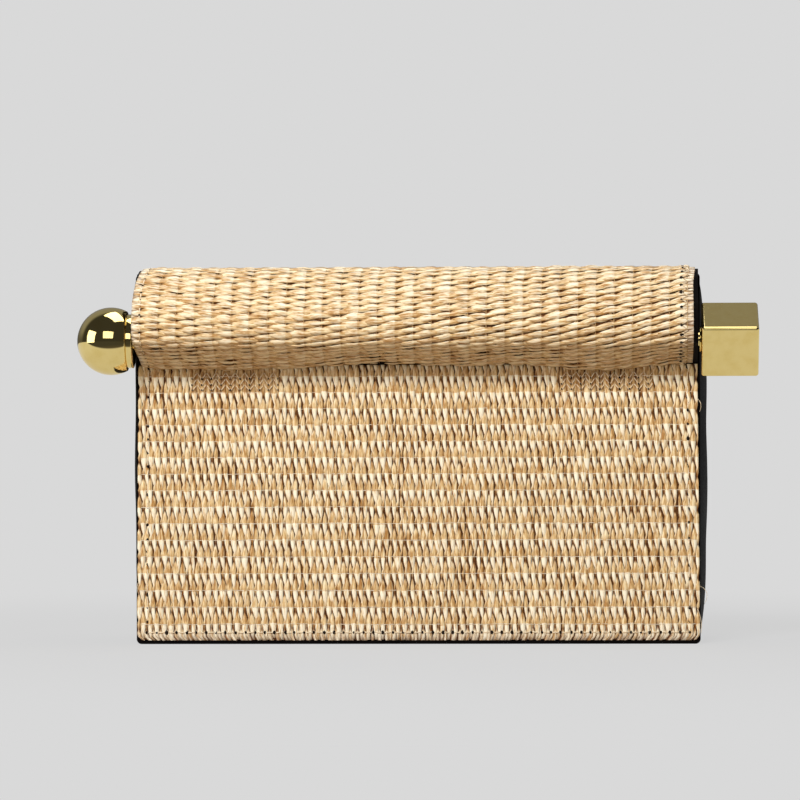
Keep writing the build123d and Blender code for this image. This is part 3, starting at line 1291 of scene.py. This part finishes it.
@dataclass
class LeatherWork:
    """Gussets, the leather of the flap and the leather-covered boards."""

    section: RollSection
    wrap_t: float = 1.0
    web_forward: float = 2.0
    gusset_t: float = 1.6
    swell: float = 4.5

    def __post_init__(self) -> None:
        """Read the leather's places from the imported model."""
        low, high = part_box("flap_leather")
        self.ends = (low.x / MM, high.x / MM)
        self.flap_under = high.z / MM - self.wrap_t
        gusset_low, gusset_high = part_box("right_gusset")
        self.gusset_y = gusset_high.y / MM
        self.gusset_z = (gusset_low.z / MM, gusset_high.z / MM)
        self.gusset_x = gusset_high.x / MM - self.swell

    def gusset_place(self, across: Array, along: Array, height: Array) -> Array:
        """Put a point of the right gusset: across runs front to back and along runs up."""
        low, high = self.gusset_z
        level = 2 * (along - low) / (high - low) - 1
        bow = 0.2 + (self.swell - 0.2) * np.sqrt(np.clip(1 - np.abs(level) ** 3, 0, 1))
        round_off = 1 - (across / self.gusset_y) ** 2
        ripple = 0.22 * np.sin(along / 7.5 + np.sin(across / 9) * 1.4) * round_off
        x = self.gusset_x + bow * round_off + ripple * (1 - level**4) - height
        return points(x, across, along)

    def wrap_place(self, across: Array, along: Array, height: Array) -> Array:
        """Put a point of the leather under the raffia, sewn on askew by a hair."""
        return self.section.place(across, along + self.section.askew(across, along, 0.2, 0.0), height)

    def web_place(self, across: Array, along: Array, height: Array) -> Array:
        """Put a point of the leather that closes the roll's back."""
        return points(along, self.section.board_y - self.web_forward - height, across)

    def build(self, wardrobe: Wardrobe) -> None:
        """Model the leather pieces and dress the boards."""
        for name, side in (("right", 1.0), ("left", -1.0)):
            gusset = lay_sheet(
                f"{name}_gusset_leather",
                lambda a, b, h, side=side: self.gusset_place(a, b, h) * np.array([side, 1.0, 1.0]),
                (-side * self.gusset_y, side * self.gusset_y), self.gusset_z,
                self.gusset_t / 2, self.gusset_t, (24, 48),
            )
            dress(gusset, wardrobe.leather, Body.CASE)
            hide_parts(f"{name}_gusset")
        wrap = lay_sheet(
            "flap_leather_wrap", self.wrap_place,
            (self.section.marks[1] - 2.0, self.section.length), self.ends,
            -self.wrap_t / 2, self.wrap_t * 0.98, (150, 8),
        )
        dress(wrap, wardrobe.leather, None)
        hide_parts("flap_leather")
        bend_over_fold(wrap)
        foot = float(self.section.z[-1])
        web = lay_sheet(
            "roll_back_leather", self.web_place,
            (foot + 1.2, self.flap_under - 0.4), self.ends,
            0.0, self.wrap_t * 0.98, (6, 8),
        )
        dress(web, wardrobe.leather, Body.FLAP)
        for node in ("front_board", "back_board", "base_board"):
            dress(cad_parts[node], wardrobe.leather, None)
        dress(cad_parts["roll_core"], wardrobe.felt, None)


@dataclass
class Pocket:
    """The lining: an open-topped suede pocket with soft corners and a rolled hem."""

    thickness: float = 0.8
    corner_r: float = 4.0
    hem_r: float = 0.75
    ripple: float = 0.12

    def __post_init__(self) -> None:
        """Read the lining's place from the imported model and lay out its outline."""
        low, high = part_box("lining")
        self.low, self.high = low.z / MM, high.z / MM
        self.half = (high.x / MM, high.y / MM)
        width, depth = [2 * (half - self.corner_r) for half in self.half]
        bend = self.corner_r * math.pi / 2
        runs = (width / 2, bend, depth, bend, width, bend, depth, bend, width / 2)
        self.line = Chain(runs, (0, 90, 0, 90, 0, 90, 0, 90, 0), 4001)
        self.length = float(self.line.marks[-1])

    def outline(self, run: Array) -> Tuple[Array, Array, Array, Array]:
        """Follow the pocket's outline from the middle of its back.

        Args:
            run: Distance along the outline.

        Returns:
            The place, x and y, and the direction that the outside faces, x and y.
        """
        line = self.line
        angle = np.interp(run, line.s, line.turn)
        x, aside = np.interp(run, line.s, line.ahead), np.interp(run, line.s, line.aside)
        return x, self.half[1] - aside, np.sin(angle), np.cos(angle)

    def wall(self, across: Array, along: Array, height: Array) -> Array:
        """Put a point of the wall: across runs round the pocket, along up, and height inwards."""
        x, y, out_x, out_y = self.outline(across)
        wave = self.ripple * (1 + np.sin(across / 11.0 + np.sin(along / 19.0)))
        return points(x - out_x * (height + wave), y - out_y * (height + wave), along)

    def floor(self, across: Array, along: Array, height: Array) -> Array:
        """Put a point of the bottom."""
        return points(across, along, self.low + height)

    def build(self, wardrobe: Wardrobe) -> None:
        """Model the walls, the bottom and the hem."""
        middle = self.thickness / 2
        walls = lay_sheet(
            "lining_walls", self.wall,
            (0.0, self.length), (self.low, self.high - self.hem_r),
            middle, self.thickness, (220, 24),
        )
        inset = self.thickness * 0.6
        bottom = lay_sheet(
            "lining_bottom", self.floor,
            (-self.half[0] + inset, self.half[0] - inset), (-self.half[1] + inset, self.half[1] - inset),
            middle, self.thickness, (20, 8),
        )
        tube = unit_tube(8, 220)
        run = tube.share * self.length
        level = self.high - self.hem_r + self.hem_r * tube.ring[None, :, 1]
        inwards = self.hem_r + 0.05 + self.hem_r * tube.ring[None, :, 0]
        hem = bundle("lining_hem", tube, self.wall(run, level, inwards))
        for piece in (walls, bottom, hem):
            dress(piece, wardrobe.suede, Body.CASE)
        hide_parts("lining")


@dataclass
class Finials:
    """The polished rod ends: ball, block and their collars."""

    ball_r: float = 13.2
    ball_neck: float = 6.4
    block_side: float = 21.5
    block_length: float = 22.0
    block_turn: float = 30.0
    block_edge: float = 1.1

    def __post_init__(self) -> None:
        """Read the rod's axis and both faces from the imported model."""
        low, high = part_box("rod")
        self.axis_y, self.axis_z = (low.y + high.y) / 2 / MM, (low.z + high.z) / 2 / MM
        self.ball_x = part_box("left_collar")[0].x / MM
        self.block_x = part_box("right_collar")[1].x / MM

    def ball(self) -> Piece:
        """Model the ball, cut flat where it meets its collar."""
        centre = (self.ball_x - self.ball_neck, self.axis_y, self.axis_z)
        piece = make(
            "polished_ball",
            bpy.ops.mesh.primitive_uv_sphere_add,
            segments=96,
            ring_count=48,
            radius=self.ball_r * MM,
            location=[c * MM for c in centre],
            rotation=(0, math.pi / 2, 0),
        )
        apply_all(piece)
        bpy.ops.object.mode_set(mode="EDIT")
        bpy.ops.mesh.select_all(action="SELECT")
        bpy.ops.mesh.bisect(
            plane_co=(self.ball_x * MM, 0, 0), plane_no=(1, 0, 0), use_fill=True, clear_outer=True
        )
        bpy.ops.object.mode_set(mode="OBJECT")
        break_edges(piece, 0.25, 3)
        return piece

    def block(self) -> Piece:
        """Model the square block, turned with the rod, its edges broken."""
        centre = (self.block_x + self.block_length / 2, self.axis_y, self.axis_z)
        add = bpy.ops.mesh.primitive_cube_add
        piece = make("polished_block", add, size=1.0, location=[c * MM for c in centre])
        piece.scale = [v * MM for v in (self.block_length, self.block_side, self.block_side)]
        piece.rotation_euler = (math.radians(self.block_turn), 0, 0)
        apply_all(piece)
        break_edges(piece, self.block_edge, 8, smooth_deg=4.0)
        return piece

    def collar(self, node: str, name: str) -> Piece:
        """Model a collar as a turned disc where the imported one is.

        Args:
            node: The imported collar.
            name: The new piece's name.

        Returns:
            The piece.
        """
        low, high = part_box(node)
        piece = make(
            name,
            bpy.ops.mesh.primitive_cylinder_add,
            vertices=96,
            radius=(high.z - low.z) / 2,
            depth=high.x - low.x,
            location=(low + high) / 2,
            rotation=(0, math.pi / 2, 0),
        )
        break_edges(piece, 0.3, 4)
        return piece

    def build(self, wardrobe: Wardrobe) -> None:
        """Model the finials and dress the rod."""
        made = (
            (self.ball(), "ball_finial"),
            (self.block(), "block_finial"),
            (self.collar("left_collar", "left_collar_disc"), "left_collar"),
            (self.collar("right_collar", "right_collar_disc"), "right_collar"),
        )
        for piece, node in made:
            dress(piece, wardrobe.gold, Body.ROD_SET)
            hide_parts(node)
        dress(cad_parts["rod"], wardrobe.gold, None)
        for name in ("left_front_magnet", "right_front_magnet", "left_flap_magnet", "right_flap_magnet"):
            dress(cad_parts[name], wardrobe.steel, None)


# Studio


@dataclass
class Studio:
    """Floor, lamps and the camera at the photograph's angle."""

    distance: float = 1727.0
    focal_px: float = 4412.0
    yaw_deg: float = 2.4
    roll_deg: float = 0.15
    eye_z: float = 82.0
    middle_px: Pair = (417.4, 644.0)
    frame_px: float = 800.0
    sensor: float = 36.0
    backdrop: Rgb = srgb(217, 217, 217)
    shadow_share: float = 0.15
    ambient: float = 0.1

    def camera(self) -> None:
        """Place the camera: level, a little to the right of the bag's middle."""
        data = bpy.data.cameras.new("camera")
        data.sensor_width = self.sensor
        data.lens = self.focal_px / self.frame_px * self.sensor
        horizon = self.middle_px[1] - self.focal_px * self.eye_z / self.distance
        data.shift_x = (self.frame_px / 2 - self.middle_px[0]) / self.frame_px
        data.shift_y = (horizon - self.frame_px / 2) / self.frame_px
        data.clip_end = 20.0
        eye = put_in_scene("camera", data)
        yaw = math.radians(self.yaw_deg)
        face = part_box("front_board")[0].y
        eye.location = (
            self.distance * MM * math.sin(yaw),
            face - self.distance * MM * math.cos(yaw),
            self.eye_z * MM,
        )
        eye.rotation_euler = (math.pi / 2, math.radians(self.roll_deg), yaw)
        bpy.context.scene.camera = eye

    def lamp(
        self, name: str, at: Rgb, size: Pair, watts: float, shines: bool = True
    ) -> None:
        """Hang one soft rectangular lamp that faces the bag.

        Args:
            name: The lamp's name.
            at: Its place, in metres.
            size: Its width and height, in metres.
            watts: Its power.
            shines: Whether polished surfaces show it.
        """
        data = bpy.data.lights.new(name, "AREA")
        data.shape = "RECTANGLE"
        data.size, data.size_y = size
        data.energy = watts
        lamp = put_in_scene(name, data)
        lamp.location = at
        lamp.rotation_euler = (Vector((0, 0, 0.08)) - lamp.location).to_track_quat("-Z", "Y").to_euler()
        lamp.visible_glossy = shines

    def floor(self) -> None:
        """Lay a pale floor that keeps a faint shadow and looks as pale as the backdrop."""
        piece = make("floor", bpy.ops.mesh.primitive_plane_add, size=12.0)
        dye = Dye("floor")
        tree = dye.tree
        camera = dye.node("LightPath", "Is Camera Ray")
        seen = dye.blend(camera, srgb(160, 137, 106), srgb(188, 188, 188))
        dye.finish(Base_Color=seen, Roughness=0.8)
        glow = tree.nodes.new("ShaderNodeEmission")
        glow.inputs["Color"].default_value = (*self.backdrop, 1.0)
        mix = tree.nodes.new("ShaderNodeMixShader")
        glossy = dye.node("LightPath", "Is Glossy Ray")
        at = dye.node("TexCoord", "Object")
        away = dye.node("VectorMath", "Value", {"operation": "LENGTH"}, Vector=at)
        glowing = away.smooth(0.12, 0.6) * self.shadow_share + (1.0 - self.shadow_share)
        put(tree, mix.inputs[0], (camera + glossy) * glowing)
        table = dye.node("SeparateXYZ", 1, Vector=at).smooth(-0.34, -0.26)
        put(tree, glow.inputs["Strength"], 1.0 - glossy * (1.0 - table) * 0.92)
        tree.links.new(dye.shader.outputs[0], mix.inputs[1])
        tree.links.new(glow.outputs[0], mix.inputs[2])
        tree.links.new(mix.outputs[0], tree.nodes["Material Output"].inputs["Surface"])
        piece.data.materials.append(dye.material)

    def world(self) -> None:
        """Light evenly from all round, and show the backdrop to the camera."""
        world = bpy.data.worlds.new("studio")
        bpy.context.scene.world = world
        world.use_nodes = True
        tree = world.node_tree
        background = tree.nodes["Background"]
        path = tree.nodes.new("ShaderNodeLightPath")
        place = tree.nodes.new("ShaderNodeTexCoord")
        split = tree.nodes.new("ShaderNodeSeparateXYZ")
        tree.links.new(place.outputs["Generated"], split.inputs[0])
        forward, up = Signal(tree, split.outputs["Y"]), Signal(tree, split.outputs["Z"])
        room = forward.smooth(0.2, 0.5) * (up.smooth(0.0, 0.4) * 0.16 + 0.06) + 0.04
        camera = Signal(tree, path.outputs["Is Camera Ray"])
        glossy = Signal(tree, path.outputs["Is Glossy Ray"])
        level = glossy * room + (1.0 - glossy) * self.ambient
        level = camera * self.backdrop[0] + (1.0 - camera) * level
        put(tree, background.inputs["Color"], (1.0, 1.0, 1.0))
        put(tree, background.inputs["Strength"], level)

    def build(self) -> None:
        """Set up the whole studio."""
        bpy.context.scene.view_settings.view_transform = "Standard"
        self.camera()
        self.floor()
        self.world()
        self.lamp("top", (0.1, 0.1, 1.5), (1.1, 0.8), 8.0)
        self.lamp("front", (-0.26, -1.75, 0.78), (1.1, 0.75), 5.0)
        self.lamp("key", (-0.35, -1.5, 1.12), (0.6, 0.42), 28.5, shines=False)
        self.lamp("left", (-1.4, -0.55, 0.42), (0.8, 0.8), 5.0)


def main() -> None:
    """Build every piece in order."""
    logging.basicConfig(level=logging.INFO, format="%(name)s: %(message)s")
    Studio().build()
    wardrobe = Wardrobe()
    section = RollSection()
    LeatherWork(section).build(wardrobe)
    FrontPanel().build(wardrobe)
    LooseFibres().build(wardrobe)
    FlapCover(section).build(wardrobe)
    BackPanel(section).build(wardrobe)
    Pocket().build(wardrobe)
    Finials().build(wardrobe)


if __name__ == "__main__":
    main()
